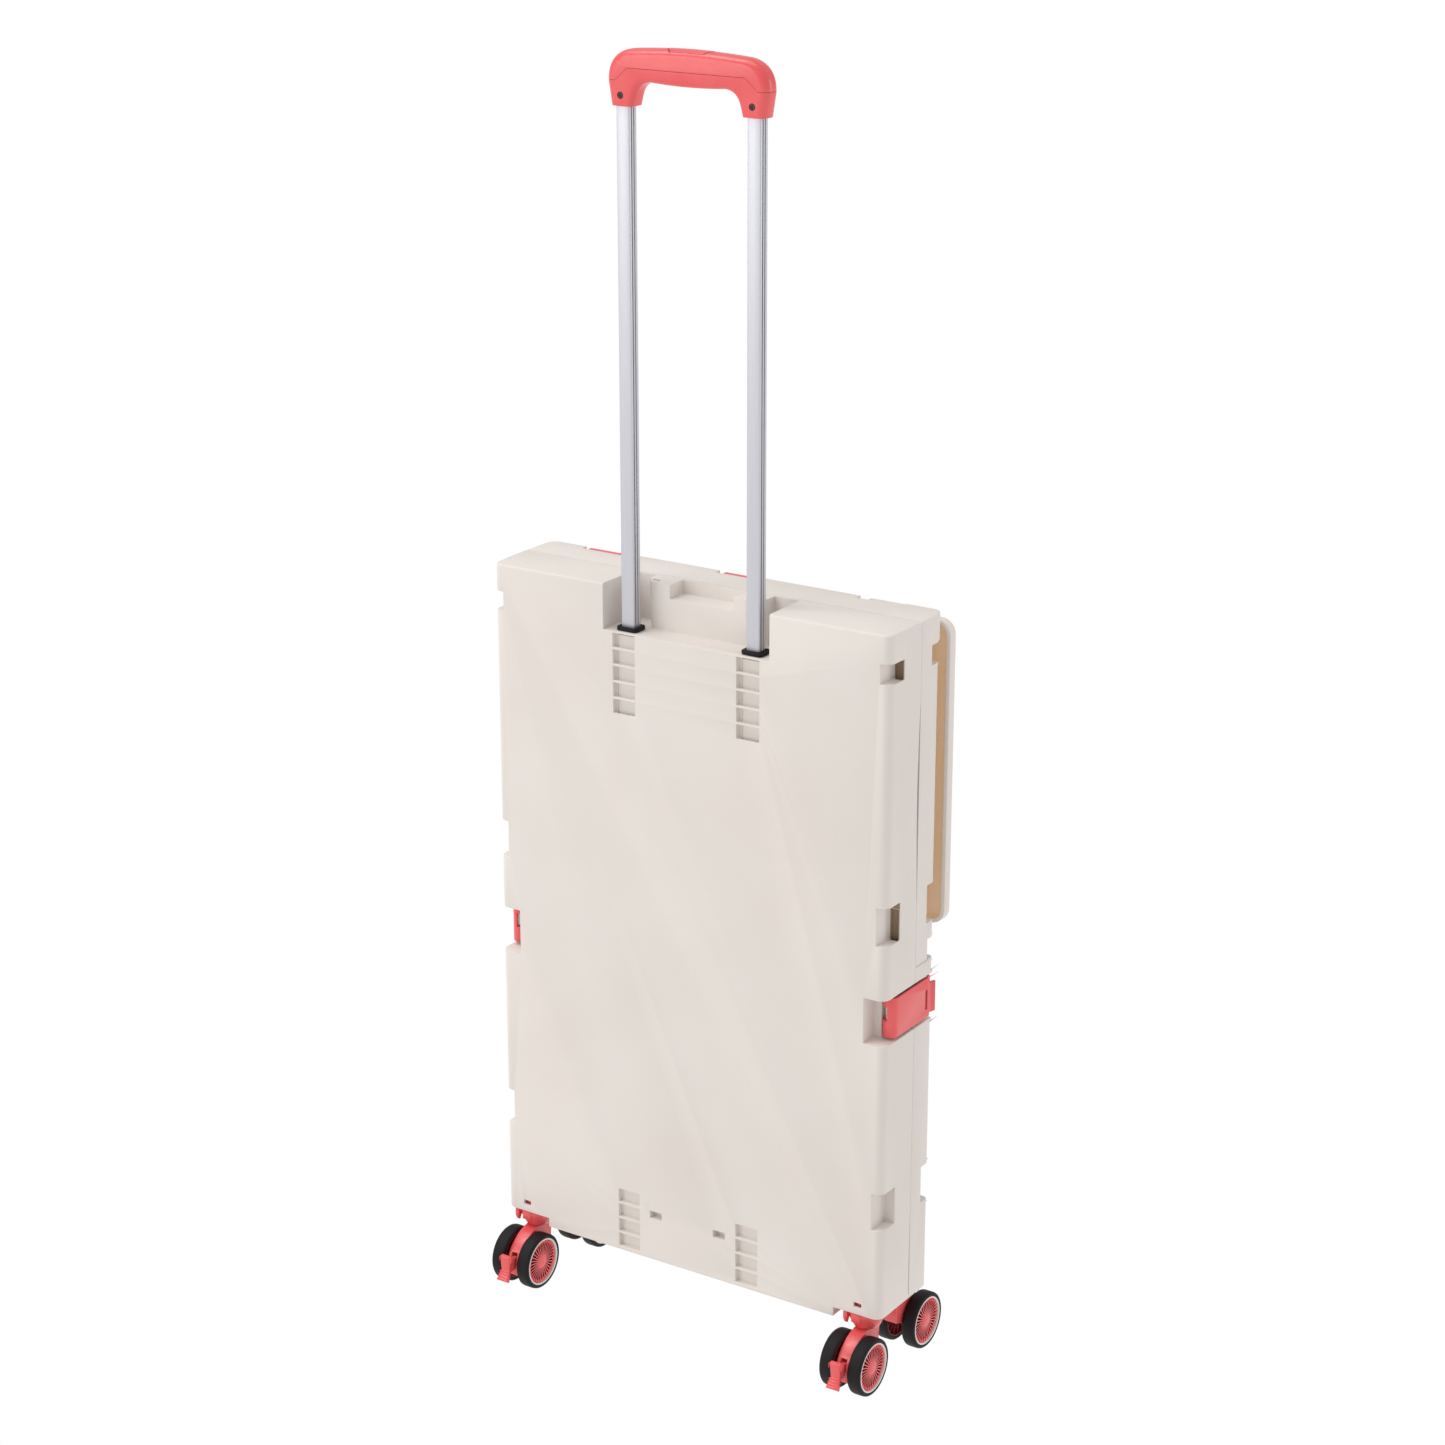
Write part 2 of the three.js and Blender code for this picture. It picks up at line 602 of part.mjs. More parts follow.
// Right-hand strap: it wraps the hinge eye with an ear above and below it, runs back over the
// seam, and ends in a slot for the catch and a lip to pull it open by.
function latchStrap() {
  const outer = HALF_WIDTH + 0.5;
  const inner = outer - LATCH_THICK;
  const bend = LATCH_EAR - LATCH_THICK;
  const plan = new THREE.Shape();
  plan.moveTo(LATCH_PIVOT_X, LATCH_PIVOT_Y - LATCH_EAR);
  plan.absarc(LATCH_PIVOT_X, LATCH_PIVOT_Y, LATCH_EAR, -Math.PI / 2, 0);
  plan.lineTo(outer, 69);
  plan.quadraticCurveTo(outer + 0.1, 72.5, outer + 1.8, 75.4);
  plan.lineTo(outer + 0.1, 76.4);
  plan.quadraticCurveTo(inner, 73, inner, 69);
  plan.lineTo(inner, LATCH_PIVOT_Y);
  plan.absarc(LATCH_PIVOT_X, LATCH_PIVOT_Y, bend, 0, -Math.PI / 2, true);
  const strap = prism(plan, "z", LATCH_BOTTOM, LATCH_TOP, 6);
  const ears = [
    [LATCH_BOTTOM, LATCH_EYE[0] - FIT],
    [LATCH_EYE[1] + FIT, LATCH_TOP - 2],
  ].map(([z0, z1]) => rod("z", LATCH_PIVOT_X, LATCH_PIVOT_Y, LATCH_EAR, z0, z1, 24));
  const earTop = box(LATCH_PIVOT_X - LATCH_EAR, LATCH_PIVOT_X + 1, 10, 30, LATCH_TOP - 2, LATCH_TOP + 1);
  const knob = box(inner + 0.2, outer, 66.5, 69.5, LATCH_TOP - 1, LATCH_TOP + 1.6);
  const bore = rod("z", LATCH_PIVOT_X, LATCH_PIVOT_Y, 1.8, LATCH_BOTTOM - 1, LATCH_TOP + 1, 12);
  const catchSlot = box(180, 190, 62.9, 65.9, LATCH_BOTTOM + 7, LATCH_TOP - 10);
  const lipStep = [
    box(180, 195, 69.5, 80, LATCH_BOTTOM - 1, LATCH_BOTTOM + 2.5),
    box(180, 195, 69.5, 80, LATCH_TOP - 5, LATCH_TOP + 1),
  ];
  return cut(join(strap, ...ears, knob), earTop, bore, catchSlot, ...lipStep);
}

// ---- Lid ----

function lidBoard() {
  const rim = prism(roundedRect(-LID_HALF, LID_HALF, LID_BOTTOM, LID_TOP, 12), "y", LID_FRONT, LID_BACK, 4);
  const trayShape = roundedRect(-LID_HALF + 4, LID_HALF - 4, LID_BOTTOM + 4, LID_TOP - 4, 8);
  const tray = prism(trayShape, "y", LID_FRONT - 1, LID_BACK - 3, 4);
  const knuckles = bothSides((sign) =>
    join(
      sideBox(sign, 26, 104, LID_AXIS_Y - 2, LID_AXIS_Y + 3, LID_TOP - 5, LID_AXIS_Z),
      rod("x", LID_AXIS_Y, LID_AXIS_Z, 3.2, sign > 0 ? 26 : -104, sign > 0 ? 104 : -26),
    ),
  );
  const bore = rod("x", LID_AXIS_Y, LID_AXIS_Z, 1.9, -110, 110);
  return cut(join(cut(rim, tray), knuckles), bore);
}

function lidHinge(x0, x1) {
  const foot = box(x0, x1, REAR_FACE + FIT, LID_AXIS_Y, 560, LID_AXIS_Z + 3.2);
  const eye = rod("x", LID_AXIS_Y, LID_AXIS_Z, 3.2, x0, x1);
  const bore = rod("x", LID_AXIS_Y, LID_AXIS_Z, 1.9, x0 - 1, x1 + 1);
  return cut(join(foot, eye), bore);
}

// ---- Casters, about their own swivel axis with the bottom edge of the shell at z = 0 ----

function casterBracket(brake) {
  const cup = turned([[0, -15], [10.8, -15], [14, -8.5], [15.2, -4], [15.2, -0.4], [0, -0.4]], 24);
  const plug = rod("z", 0, 0, 5, -1, 16, 12);
  const hook = prism(
    outline([[-15, -0.4], [-15, -7], [-13, -11.5], [-11, -8], [-9, -0.4]]), "x", -14, -10,
  );
  const block = box(-6, 2.5, -15.6, -9, -8.5, -0.4);
  const tab = box(-3.8, 3.8, -12.6, -4, 6.2, 10.8);
  const body = join(cup, plug, hook, block);
  return brake ? join(body, tab) : body;
}

// Web between the two wheels: neck under the cup, arch over the front of the wheels, toe.
function casterFork(brake) {
  const web = new THREE.Shape();
  web.moveTo(10.5, -15.4);
  web.lineTo(-9.5, -15.4);
  web.bezierCurveTo(-19, -16.5, -27, -21, -33, -28);
  web.bezierCurveTo(-37.5, -33, -40, -42, -38.5, -50);
  web.lineTo(-34, -52.5);
  web.lineTo(-27, -48);
  web.quadraticCurveTo(-18, -50, -13, -43);
  web.quadraticCurveTo(-8, -38, 0, -37);
  web.lineTo(9, -34);
  const body = prism(web, "x", -6, 6, 4);
  const bore = rod("x", -TRAIL, -AXLE_DROP, 2.5, -7, 7);
  const pedalSlot = box(-2.7, 2.7, -45, -31, -44, -31);
  return brake ? cut(body, bore, pedalSlot) : cut(body, bore);
}

function casterAxle() {
  return rod("x", -TRAIL, -AXLE_DROP, 2.2, -WHEEL_OFFSET - 4, WHEEL_OFFSET + 4, 12);
}

function turnedWheel(profile, sign, segments) {
  const about = turned(profile, segments);
  return about.rotate([0, sign * 90, 0]).translate([sign * WHEEL_OFFSET, -TRAIL, -AXLE_DROP]);
}

function tyre(sign) {
  const half = WHEEL_WIDTH / 2;
  const profile = [
    [RIM_RADIUS, -half], [TYRE_RADIUS - 2.4, -half], [TYRE_RADIUS, -half + 2.8],
    [TYRE_RADIUS, half - 2.8], [TYRE_RADIUS - 2.4, half], [RIM_RADIUS, half],
  ];
  return turnedWheel(profile, sign, 28);
}

function hub(sign) {
  const half = WHEEL_WIDTH / 2;
  const rim = RIM_RADIUS - 0.3;
  const profile = [
    [2.5, -4], [7, -4], [rim - 2, 1], [rim, -half + 0.5], [rim, half], [rim - 2, half],
    [8, half - 1.8], [2.5, half - 1],
  ];
  return turnedWheel(profile, sign, 20);
}

// Foot pedal on the front of the fork, with a tongue into the fork's slot.
function brakePedal() {
  const side = outline([
    [-41, -33.5], [-46.5, -28], [-50, -28.6], [-49.2, -41], [-54.6, -49], [-51.8, -51],
    [-46.8, -43.4], [-41.6, -42.8],
  ]);
  const plate = prism(side, "x", -5, 5);
  const ears = box(-6.2, 6.2, -49.6, -45.6, -33.5, -29.2);
  const tongue = box(-2.2, 2.2, -42, -34.5, -41, -34);
  return join(plate, ears, tongue);
}

// ---- Scene graph ----

function piece(name, solid, look) {
  const mesh = new THREE.Mesh(geometryOf(solid), new THREE.MeshStandardMaterial(look));
  mesh.name = name;
  return mesh;
}

function pair(name, make, look) {
  return [piece(name + "_left", make(-1), look), piece(name + "_right", make(1), look)];
}

function caster({ name, x, y, turn, brake }) {
  const group = new THREE.Group();
  group.position.set(x, y, 0);
  group.rotation.z = turn;
  group.add(
    piece("caster_bracket_" + name, casterBracket(brake), coral),
    piece("caster_fork_" + name, casterFork(brake), coral),
    piece("caster_axle_" + name, casterAxle(), steel),
  );
  for (const [side, sign] of [["a", -1], ["b", 1]]) {
    group.add(
      piece("tyre_" + name + "_" + side, tyre(sign), black),
      piece("wheel_hub_" + name + "_" + side, hub(sign), coral),
    );
  }
  if (brake) {
    group.add(piece("brake_pedal_" + name, brakePedal(), coral));
  }
  return group;
}

const cart = new THREE.Group();
cart.position.set(0, -DEPTH_MIDDLE, FLOOR_DROP);

const leafA = panelLeaf(false);
const leafB = panelLeaf(true);
const strap = latchStrap();
const latchPin = rod("z", LATCH_PIVOT_X, LATCH_PIVOT_Y, 1.5, LATCH_BOTTOM + 0.5, LATCH_TOP - 0.5, 12);
const centrePin = rod("z", PANEL_PIN_X, SEAM, 1.5, PANEL_BOTTOM + 2, PIN_TOP, 12);

cart.add(
  piece("front_shell", frontShell(), cream),
  piece("rear_shell", rearShell(), cream),
  piece("floor_panel", floorPanel(), cream),
  piece("side_panel_left_front", leafA, cream),
  piece("side_panel_left_rear", leafB, cream),
  piece("side_panel_right_front", mirrored(leafA), cream),
  piece("side_panel_right_rear", mirrored(leafB), cream),
  piece("panel_pin_left", mirrored(centrePin), steel),
  piece("panel_pin_right", centrePin, steel),
  ...pair("handle_tube", handleTube, silver),
  ...pair("tube_sleeve", tubeSleeve, cream),
  ...pair("tube_collar", tubeCollar, black),
  piece("grip_base", gripBase(), coral),
  piece("grip_cover", gripCover(), coral),
  ...pair("handle_screw", handleScrew, darkScrew),
  piece("handle_button", handleButton(), coral),
  piece("latch_left", mirrored(strap), coral),
  piece("latch_right", strap, coral),
  piece("latch_pin_left", mirrored(latchPin), steel),
  piece("latch_pin_right", latchPin, steel),
  piece("lid", lidBoard(), cream),
  piece("lid_hinge_left", lidHinge(-150, -112), coral),
  piece("lid_hinge_centre", lidHinge(-18.5, 18.5), coral),
  piece("lid_rod", rod("x", LID_AXIS_Y, LID_AXIS_Z, 1.6, -149, 146, 12), steel),
  ...CASTERS.map(caster),
);

const root = new THREE.Group();
root.add(cart);

export default root;
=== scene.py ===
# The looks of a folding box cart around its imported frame: folded flat, with its pull handle drawn out
import json
import math

import bmesh
import bpy
from mathutils import Matrix, Vector


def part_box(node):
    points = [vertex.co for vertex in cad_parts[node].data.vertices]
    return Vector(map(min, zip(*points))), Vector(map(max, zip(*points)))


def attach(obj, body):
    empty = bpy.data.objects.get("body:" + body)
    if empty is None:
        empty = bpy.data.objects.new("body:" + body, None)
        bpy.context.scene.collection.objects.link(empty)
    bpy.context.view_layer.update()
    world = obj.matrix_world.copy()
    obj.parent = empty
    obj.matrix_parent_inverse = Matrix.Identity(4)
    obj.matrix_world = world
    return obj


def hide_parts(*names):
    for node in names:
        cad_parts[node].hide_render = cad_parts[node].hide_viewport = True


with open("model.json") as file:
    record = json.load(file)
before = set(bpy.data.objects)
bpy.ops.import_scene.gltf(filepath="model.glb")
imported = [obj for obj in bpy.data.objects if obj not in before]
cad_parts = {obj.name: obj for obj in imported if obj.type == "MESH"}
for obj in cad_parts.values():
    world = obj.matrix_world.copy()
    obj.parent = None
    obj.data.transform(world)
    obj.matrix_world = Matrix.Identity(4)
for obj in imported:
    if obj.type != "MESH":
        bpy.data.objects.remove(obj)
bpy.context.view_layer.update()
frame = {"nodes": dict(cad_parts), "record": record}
cadNodes = frame["nodes"]
mm = 0.001
frontAt, bottomAt = -36, 64.6  # the shell's front face and bottom edge in the frame, in millimetres


class Field:
    # one output socket; arithmetic on it adds Math nodes to its finish
    def __init__(self, finish, socket):
        self.finish = finish
        self.socket = socket

    def math(self, operation, *values):
        return self.finish.node("ShaderNodeMath", {"operation": operation}, *values)

    def __add__(self, other):
        return self.math("ADD", self, other)

    def __radd__(self, other):
        return self.math("ADD", other, self)

    def __mul__(self, other):
        return self.math("MULTIPLY", self, other)

    def __rmul__(self, other):
        return self.math("MULTIPLY", other, self)


class Finish:
    # a material, its principled shader, and one way to add any node
    def __init__(self, name):
        self.material = bpy.data.materials.new(name)
        self.material.use_nodes = True
        self.tree = self.material.node_tree
        self.shader = self.tree.nodes["Principled BSDF"]
        self.place = self.node("ShaderNodeTexCoord", {}, out="Object")

    def feed(self, socket, value):
        if isinstance(value, Field):
            self.tree.links.new(value.socket, socket)
        elif isinstance(value, (tuple, list)) and len(value) == 3 and socket.type == "RGBA":
            socket.default_value = (*value, 1.0)
        else:
            socket.default_value = value

    def node(self, kind, settings, *values, out=0, **named):
        made = self.tree.nodes.new(kind)
        for key, value in settings.items():
            setattr(made, key, value)
        for index, value in enumerate(values):
            self.feed(made.inputs[index], value)
        for key, value in named.items():
            self.feed(made.inputs[key.replace("_", " ")], value)
        return Field(self, made.outputs[out])

    def noise(self, scale, detail=2.0, stretch=(1, 1, 1)):
        spot = self.node("ShaderNodeMapping", {}, self.place, Scale=stretch)
        return self.node("ShaderNodeTexNoise", {}, spot, Scale=scale, Detail=detail)

    def spread(self, field, low, high):
        # stretches the middle of a noise, which hardly leaves 0.3 to 0.7, over low to high
        return self.node("ShaderNodeMapRange", {}, field, 0.3, 0.7, low, high)

    def blendColours(self, factor, dark, light):
        # a Mix node keeps its two colours in inputs 6 and 7, and the mixed colour in output 2
        mixed = self.node("ShaderNodeMix", {"data_type": "RGBA"}, factor, out=2)
        self.feed(mixed.socket.node.inputs[6], dark)
        self.feed(mixed.socket.node.inputs[7], light)
        return mixed

    def bump(self, height, strength, distance):
        normal = self.node("ShaderNodeBump", {}, Strength=strength, Distance=distance, Height=height)
        self.feed(self.shader.inputs["Normal"], normal)

    def set(self, **named):
        for key, value in named.items():
            self.feed(self.shader.inputs[key.replace("_", " ")], value)


def mouldedPlastic(name, look):
    finish = Finish(name)
    cloud = finish.noise(look["cloudScale"], 3.0)
    grain = finish.noise(look["grainScale"])
    tone = finish.spread(cloud, 0.0, 1.0)
    finish.set(
        Base_Color=finish.blendColours(tone, look["dark"], look["light"]),
        Roughness=finish.spread(cloud * 0.6 + grain * 0.4, *look["roughness"]),
        Specular_IOR_Level=look["specular"],
    )
    # a look with a glow colour gets a painted glow: a faint emission that stands in for light, though no lamp
    # is there
    if "glow" in look:
        finish.set(Emission_Color=look["glow"], Emission_Strength=1.0)
    finish.bump(grain, look["grainStrength"], look["grainDepth"])
    return finish.material


creamLook = {
    "dark": (0.715, 0.655, 0.605), "light": (0.755, 0.698, 0.650), "roughness": (0.42, 0.56),
    "specular": 0.4, "cloudScale": 9.0, "grainScale": 1500.0, "grainStrength": 0.10, "grainDepth": 0.0004,
}
# painted shade and painted glow for the lid's tray side: a tan cream for the shade between lid and shell, and
# a faint warm emission as painted light
paintedTrayShadeGlowLook = {
    "dark": (0.72, 0.60, 0.48), "light": (0.77, 0.65, 0.53), "roughness": (0.50, 0.62),
    "specular": 0.25, "cloudScale": 9.0, "grainScale": 1500.0, "grainStrength": 0.10, "grainDepth": 0.0004,
    "glow": (0.15, 0.085, 0.032),
}
coralLook = {
    "dark": (0.76, 0.085, 0.090), "light": (0.82, 0.110, 0.113), "roughness": (0.20, 0.29),
    "specular": 0.5, "cloudScale": 30.0, "grainScale": 2600.0, "grainStrength": 0.06, "grainDepth": 0.0002,
}
blackLook = {
    "dark": (0.010, 0.008, 0.009), "light": (0.016, 0.013, 0.014), "roughness": (0.50, 0.66),
    "specular": 0.18, "cloudScale": 40.0, "grainScale": 1800.0, "grainStrength": 0.15, "grainDepth": 0.0004,
}
# painted shade: a dark brown put on the backs of the corner notches and inside the slits beside the seam
paintedDeepShadeLook = {
    "dark": (0.27, 0.19, 0.125), "light": (0.33, 0.24, 0.16), "roughness": (0.55, 0.65),
    "specular": 0.2, "cloudScale": 60.0, "grainScale": 1500.0, "grainStrength": 0.05, "grainDepth": 0.0002,
}
shadeLook = {
    "dark": (0.20, 0.020, 0.022), "light": (0.26, 0.028, 0.030), "roughness": (0.5, 0.6),
    "specular": 0.2, "cloudScale": 60.0, "grainScale": 2600.0, "grainStrength": 0.05, "grainDepth": 0.0002,
}
whiteLook = {
    "dark": (0.72, 0.70, 0.68), "light": (0.80, 0.78, 0.76), "roughness": (0.35, 0.45),
    "specular": 0.5, "cloudScale": 60.0, "grainScale": 2600.0, "grainStrength": 0.05, "grainDepth": 0.0002,
}


def brushedMetal(name, look):
    finish = Finish(name)
    streak = finish.noise(look["scale"], 4.0, stretch=look["stretch"])
    finish.set(
        Base_Color=finish.blendColours(finish.spread(streak, 0, 1), look["dark"], look["light"]),
        Roughness=finish.spread(streak, *look["roughness"]),
        Metallic=look["metallic"],
    )
    finish.bump(streak, look["strength"], 0.0002)
    return finish.material


tubeLook = {
    "dark": (0.56, 0.56, 0.60), "light": (0.60, 0.60, 0.64), "roughness": (0.40, 0.48), "metallic": 0.72,
    "scale": 1400.0, "stretch": (1, 1, 0.02), "strength": 0.012,
}
steelLook = {
    "dark": (0.42, 0.42, 0.43), "light": (0.52, 0.52, 0.53), "roughness": (0.22, 0.34), "metallic": 1.0,
    "scale": 700.0, "stretch": (0.05, 1, 1), "strength": 0.05,
}
screwLook = {
    "dark": (0.045, 0.040, 0.042), "light": (0.085, 0.075, 0.078), "roughness": (0.28, 0.42), "metallic": 0.8,
    "scale": 900.0, "stretch": (1, 1, 1), "strength": 0.05,
}

finishes = {
    "cream_plastic": mouldedPlastic("creamPlastic", creamLook),
    "coral_plastic": mouldedPlastic("coralPlastic", coralLook),
    "black_plastic": mouldedPlastic("blackPlastic", blackLook),
    "tyre_rubber": mouldedPlastic("tyreRubber", blackLook),
    "anodised_aluminium": brushedMetal("anodisedAluminium", tubeLook),
    "steel": brushedMetal("drawnSteel", steelLook),
    "screw_steel": brushedMetal("blackScrew", screwLook),
    "whiteRing": mouldedPlastic("whiteRing", whiteLook),
    # a tan painted shade with a painted glow for the lid's tray side
    "paintedTrayShadeGlow": mouldedPlastic("paintedTrayShadeGlow", paintedTrayShadeGlowLook),
    # a dark brown painted shade for notch backs and slits
    "paintedDeepShade": mouldedPlastic("paintedDeepShade", paintedDeepShadeLook),
    "slotShade": mouldedPlastic("slotShade", shadeLook),
}
print("finishes made:", len(finishes))

record = frame["record"]
slotOf = {part["node"]: part["material_slot"] for part in record["subparts"]}
bodyOf = {node: body for body, nodes in record["behaviour"]["bodies"].items() for node in nodes}
for node, slotName in slotOf.items():
    cadNodes[node].data.materials.clear()
    cadNodes[node].data.materials.append(finishes[slotName])


def sharpEdges(shape, angle):
    return [e for e in shape.edges if len(e.link_faces) == 2 and e.calc_face_angle() > math.radians(angle)]


def roundEdges(shape, edges, radius, segments):
    bmesh.ops.bevel(
        shape, geom=edges, offset=radius * mm, offset_type="OFFSET", segments=segments, profile=0.5,
        affect="EDGES", material=-1, clamp_overlap=False,
    )


def asObject(name, shape):
    mesh = bpy.data.meshes.new(name)
    shape.to_mesh(mesh)
    shape.free()
    made = bpy.data.objects.new(name, mesh)
    bpy.context.scene.collection.objects.link(made)
    return made


def finishPiece(name, shape, node, finish=None, second=None, where=None, angle=28, replace=True):
    # hands a mesh over to the frame in place of a node, or beside it;
    # the faces that where picks get the second finish
    for face in shape.faces:
        face.smooth = True
        face.material_index = 1 if where and where(face) else 0
    for edge in shape.edges:
        edge.smooth = len(edge.link_faces) != 2 or edge.calc_face_angle() < math.radians(angle)
    piece = asObject(name, shape)
    piece.data.materials.append(finishes[finish or slotOf[node]])
    if second:
        piece.data.materials.append(finishes[second])
    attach(piece, bodyOf[node])
    if replace:
        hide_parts(node)
    return piece


def joinFlatFaces(shape):
    bmesh.ops.dissolve_limit(shape, angle_limit=math.radians(0.5), verts=shape.verts, edges=shape.edges)


def mergedCopy(node):
    shape = bmesh.new()
    shape.from_mesh(cadNodes[node].data)
    bmesh.ops.remove_doubles(shape, verts=shape.verts, dist=0.01 * mm)
    joinFlatFaces(shape)
    return shape


def carve(shape, tool, operation="DIFFERENCE"):
    # one boolean between two shapes; both are used up
    body = asObject("carved", shape)
    cutter = asObject("cutter", tool)
    modifier = body.modifiers.new("cut", "BOOLEAN")
    modifier.operation = operation
    modifier.solver = "EXACT"
    modifier.object = cutter
    result = bmesh.new()
    result.from_object(body, bpy.context.evaluated_depsgraph_get())
    for spent in (body, cutter):
        bpy.data.objects.remove(spent)
    bmesh.ops.remove_doubles(result, verts=result.verts, dist=0.005 * mm)
    return result


def at(x, y, z):
    # the shell's own millimetres: x across, y back from the front face, z up from its bottom edge
    return Vector((x, y + frontAt, z + bottomAt)) * mm


def spotOf(face):
    # the same millimetres back from a face's middle
    spot = face.calc_center_median()
    return spot.x / mm, spot.y / mm - frontAt, spot.z / mm - bottomAt


def addBlock(shape, low, high):
    middle = (Vector(low) + Vector(high)) / 2
    size = Vector(high) - Vector(low)
    place = Matrix.Translation(middle) @ Matrix.Diagonal((*size, 1))
    return bmesh.ops.create_cube(shape, size=1, matrix=place)["verts"]


def block(low, high):
    shape = bmesh.new()
    addBlock(shape, at(*low), at(*high))
    return shape


def extruded(outline, push):
    # a closed outline of points, pushed along a vector
    shape = bmesh.new()
    face = shape.faces.new([shape.verts.new(point) for point in outline])
    grown = bmesh.ops.extrude_face_region(shape, geom=[face])["geom"]
    bmesh.ops.translate(shape, verts=[v for v in grown if isinstance(v, bmesh.types.BMVert)], vec=push)
    bmesh.ops.recalc_face_normals(shape, faces=shape.faces)
    return shape


def bezier(steps, *points):
    # points along a curve of any order, without its last one
    run = []
    for step in range(steps):
        level = [Vector(point) for point in points]
        while len(level) > 1:
            level = [a.lerp(b, step / steps) for a, b in zip(level, level[1:])]
        run.append(level[0])
    return run


def spun(profile, steps):
    # turned about z; the profile is a closed run of (radius, height) in millimetres
    shape = bmesh.new()
    verts = [shape.verts.new((radius * mm, 0, height * mm)) for radius, height in profile]
    edges = [shape.edges.new(pair) for pair in zip(verts, verts[1:] + verts[:1])]
    bmesh.ops.spin(
        shape, geom=verts + edges, cent=(0, 0, 0), axis=(0, 0, 1), dvec=(0, 0, 0),
        angle=2 * math.pi, steps=steps, use_merge=True,
    )
    bmesh.ops.remove_doubles(shape, verts=shape.verts, dist=0.01 * mm)
    loose = [e for e in shape.edges if not e.link_faces]
    bmesh.ops.delete(shape, geom=loose, context="EDGES")
    bmesh.ops.recalc_face_normals(shape, faces=shape.faces)
    return shape


shellLook = {
    "rimRadius": 2.0, "rimDepth": 9, "edgeRadius": 0.6, "sharpAngle": 40,
    # corner notches: bottom and top of each, then how far a shallow pocket goes into its back wall
    "notches": [(108, 141), (313.5, 348.5), (531, 550)],
    "notchSides": (177, 183.6), "notchBack": 21, "notchDepth": 2.5, "notchMargin": 1.2,
    # slits beside the seam, as height and width from the top of each to its bottom
    "seam": 46, "gapSide": 181, "gapLength": 8, "gapShaded": [(346, 507), (6, 77)],
    "gaps": [
        [(508, 0.1), (480, 1.3), (445, 2.3), (410, 2.1), (375, 1.0), (345, 0.1)],
        [(78, 0.05), (55, 0.5), (35, 0.8), (15, 0.8), (4, 0.7)],
    ],
    "keySlot": ((-50.4, 29.4, 566), (-43.6, 31.6, 580)),
    "keySlotPlug": ((-52, 28.4, 562), (-42, 32.6, 573.5)),
}


def seamGap(side, run):
    # the long thin slit left where the side wall bows away from the seam
    across, seam = side * shellLook["gapSide"], shellLook["seam"]
    outline = [at(across, seam + 0.4, z) for z, width in run]
    outline += [at(across, seam - width, z) for z, width in reversed(run)]
    return extruded(outline, Vector((side * shellLook["gapLength"] * mm, 0, 0)))


def notchPocket(side, low, high):
    near, far = sorted(side * edge for edge in shellLook["notchSides"])
    back, margin = shellLook["notchBack"], shellLook["notchMargin"]
    return block((near, back - 2, low + margin), (far, back + shellLook["notchDepth"], high - margin))


shellLow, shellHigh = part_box("front_shell")


def onTopRim(edge):
    # along the front of the top face
    reach = shellLook["rimDepth"] * mm
    return all(
        abs(v.co.y - shellLow.y) < reach and abs(v.co.z - shellHigh.z) < 0.1 * mm for v in edge.verts
    )


def inSeamGap(edge):
    # the slits' thin ends are left sharp
    corner = at(shellLook["gapSide"] - 0.1, shellLook["seam"] - 3, 0)
    for vert in edge.verts:
        z = vert.co.z / mm - bottomAt
        tall = any(run[-1][0] - 1 < z < run[0][0] + 1 for run in shellLook["gaps"])
        if tall and vert.co.y > corner.y and abs(vert.co.x) > corner.x:
            return True
    return False


def inPaintedDeepShade(face):
    # the back of a corner notch or the inside of a slit, which gets a dark brown painted shade
    x, y, z = spotOf(face)
    back = shellLook["notchBack"]
    if any(low + 1 < z < high - 1 for low, high in shellLook["notches"]):
        if back - 0.2 < y < back + 2.6 and 176 < abs(x) < 183.8:
            return True
    inSlit = 180.9 < abs(x) < 184.9 and 43 < y < 45.95
    return inSlit and any(low < z < high for low, high in shellLook["gapShaded"])


def frontShell():
    shape = mergedCopy("front_shell")
    for side in (-1, 1):
        for low, high in shellLook["notches"]:
            shape = carve(shape, notchPocket(side, low, high))
        for run in shellLook["gaps"]:
            shape = carve(shape, seamGap(side, run))
    # the key slot is filled while the edges are rounded, and cut again afterwards
    shape = carve(shape, block(*shellLook["keySlotPlug"]), "UNION")
    joinFlatFaces(shape)
    rim = [e for e in sharpEdges(shape, shellLook["sharpAngle"]) if onTopRim(e)]
    roundEdges(shape, rim, shellLook["rimRadius"], 4)
    others = [e for e in sharpEdges(shape, shellLook["sharpAngle"]) if not inSeamGap(e)]
    roundEdges(shape, others, shellLook["edgeRadius"], 2)
    shape = carve(shape, block(*shellLook["keySlot"]))
    # the notch backs and slit insides get the dark brown painted shade
    finishPiece("frontShell", shape, "front_shell", second="paintedDeepShade", where=inPaintedDeepShade)


def rearShell():
    shape = mergedCopy("rear_shell")
    roundEdges(shape, sharpEdges(shape, shellLook["sharpAngle"]), shellLook["edgeRadius"], 2)
    finishPiece("rearShell", shape, "rear_shell")


frontShell()
rearShell()
print("shells made")


softLooks = {  # how a node's name begins, then its edge radius in millimetres and the steps in it
    "lid_hinge": (0.8, 2), "tube_collar": (0.3, 2), "handle_tube": (1.3, 3),
    "latch_left": (0.5, 2), "latch_right": (0.5, 2), "side_panel": (0.8, 2), "floor_panel": (0.8, 2),
    "caster_bracket": (0.8, 2),
}


def softPieces():
    for node in slotOf:
        for start, (radius, segments) in softLooks.items():
            if node.startswith(start):
                shape = mergedCopy(node)
                roundEdges(shape, sharpEdges(shape, 35), radius, segments)
                finishPiece("soft_" + node, shape, node)


